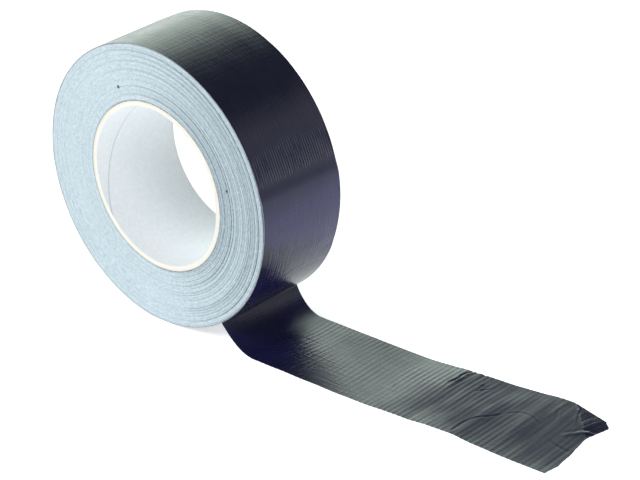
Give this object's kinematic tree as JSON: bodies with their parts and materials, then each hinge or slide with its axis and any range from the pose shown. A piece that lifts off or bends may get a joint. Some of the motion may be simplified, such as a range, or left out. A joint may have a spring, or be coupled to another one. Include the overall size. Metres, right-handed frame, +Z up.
{
  "type": "duct tape roll",
  "caption": "Roll of cloth-backed duct tape on a cardboard core, with a drawn-off tail that ends in a torn, folded corner.",
  "frame": {"origin": "centre of the roll, on its axis and midway between its sides", "axes": "+Y along the roll's axis, away from the side where the winding is seen to run clockwise outwards; +X towards the tail; +Z up, with the roll standing on its rim and the tail lying on the same surface"},
  "size_m": [0.3006, 0.05, 0.139],
  "materials": {
    "core_paper": "matte",
    "core_board": "matte",
    "tape_side": "matte",
    "backing_film": "satin",
    "cloth_scrim": "matte",
    "adhesive": "satin"
  },
  "bodies": {
    "roll": {"core_liner": "core_paper", "core_ply_1": "core_board", "core_ply_2": "core_board", "core_ply_3": "core_board", "core_ply_4": "core_board", "core_cover": "core_paper", "wound_tape": "tape_side"},
    "outer_lap": {"outer_lap_film": "backing_film", "outer_lap_scrim": "cloth_scrim", "outer_lap_adhesive": "adhesive"},
    "tail_heel": {"tail_heel_film": "backing_film", "tail_heel_scrim": "cloth_scrim", "tail_heel_adhesive": "adhesive"},
    "tail_run": {"tail_run_film": "backing_film", "tail_run_scrim": "cloth_scrim", "tail_run_adhesive": "adhesive"},
    "tail_ramp": {"tail_ramp_film": "backing_film", "tail_ramp_scrim": "cloth_scrim", "tail_ramp_adhesive": "adhesive"},
    "tail_end": {"tail_end_film": "backing_film", "tail_end_scrim": "cloth_scrim", "tail_end_adhesive": "adhesive"},
    "tail_corner": {"tail_corner_film": "backing_film", "tail_corner_scrim": "cloth_scrim", "tail_corner_adhesive": "adhesive"}
  },
  "joints": [
    {"name": "unwind", "type": "hinge", "parent": "roll", "child": "outer_lap", "pos_m": [0, 0, 0], "axis": [0, -1, 0], "continuous": true},
    {"name": "peel", "type": "hinge", "parent": "outer_lap", "child": "tail_heel", "pos_m": [0.03778, 0, -0.05818], "axis": [0, -1, 0], "range_deg": [-60, 30]},
    {"name": "heel_flex", "type": "hinge", "parent": "tail_heel", "child": "tail_run", "pos_m": [0.06017, 0, -0.06937], "axis": [0, -1, 0], "range_deg": [-45, 30]},
    {"name": "first_crease", "type": "hinge", "parent": "tail_run", "child": "tail_ramp", "pos_m": [0.1485, 0, -0.06937], "axis": [0, -1, 0], "range_deg": [-60, 45]},
    {"name": "second_crease", "type": "hinge", "parent": "tail_ramp", "child": "tail_end", "pos_m": [0.188, 0, -0.06619], "axis": [-0.4025, -0.9148, -0.0324], "range_deg": [-75, 60]},
    {"name": "corner_fold", "type": "hinge", "parent": "tail_end", "child": "tail_corner", "pos_m": [0.2155, 0.0165, -0.06647], "axis": [0.7435, -0.6653, -0.0676], "range_deg": [-80, 80]}
  ]
}
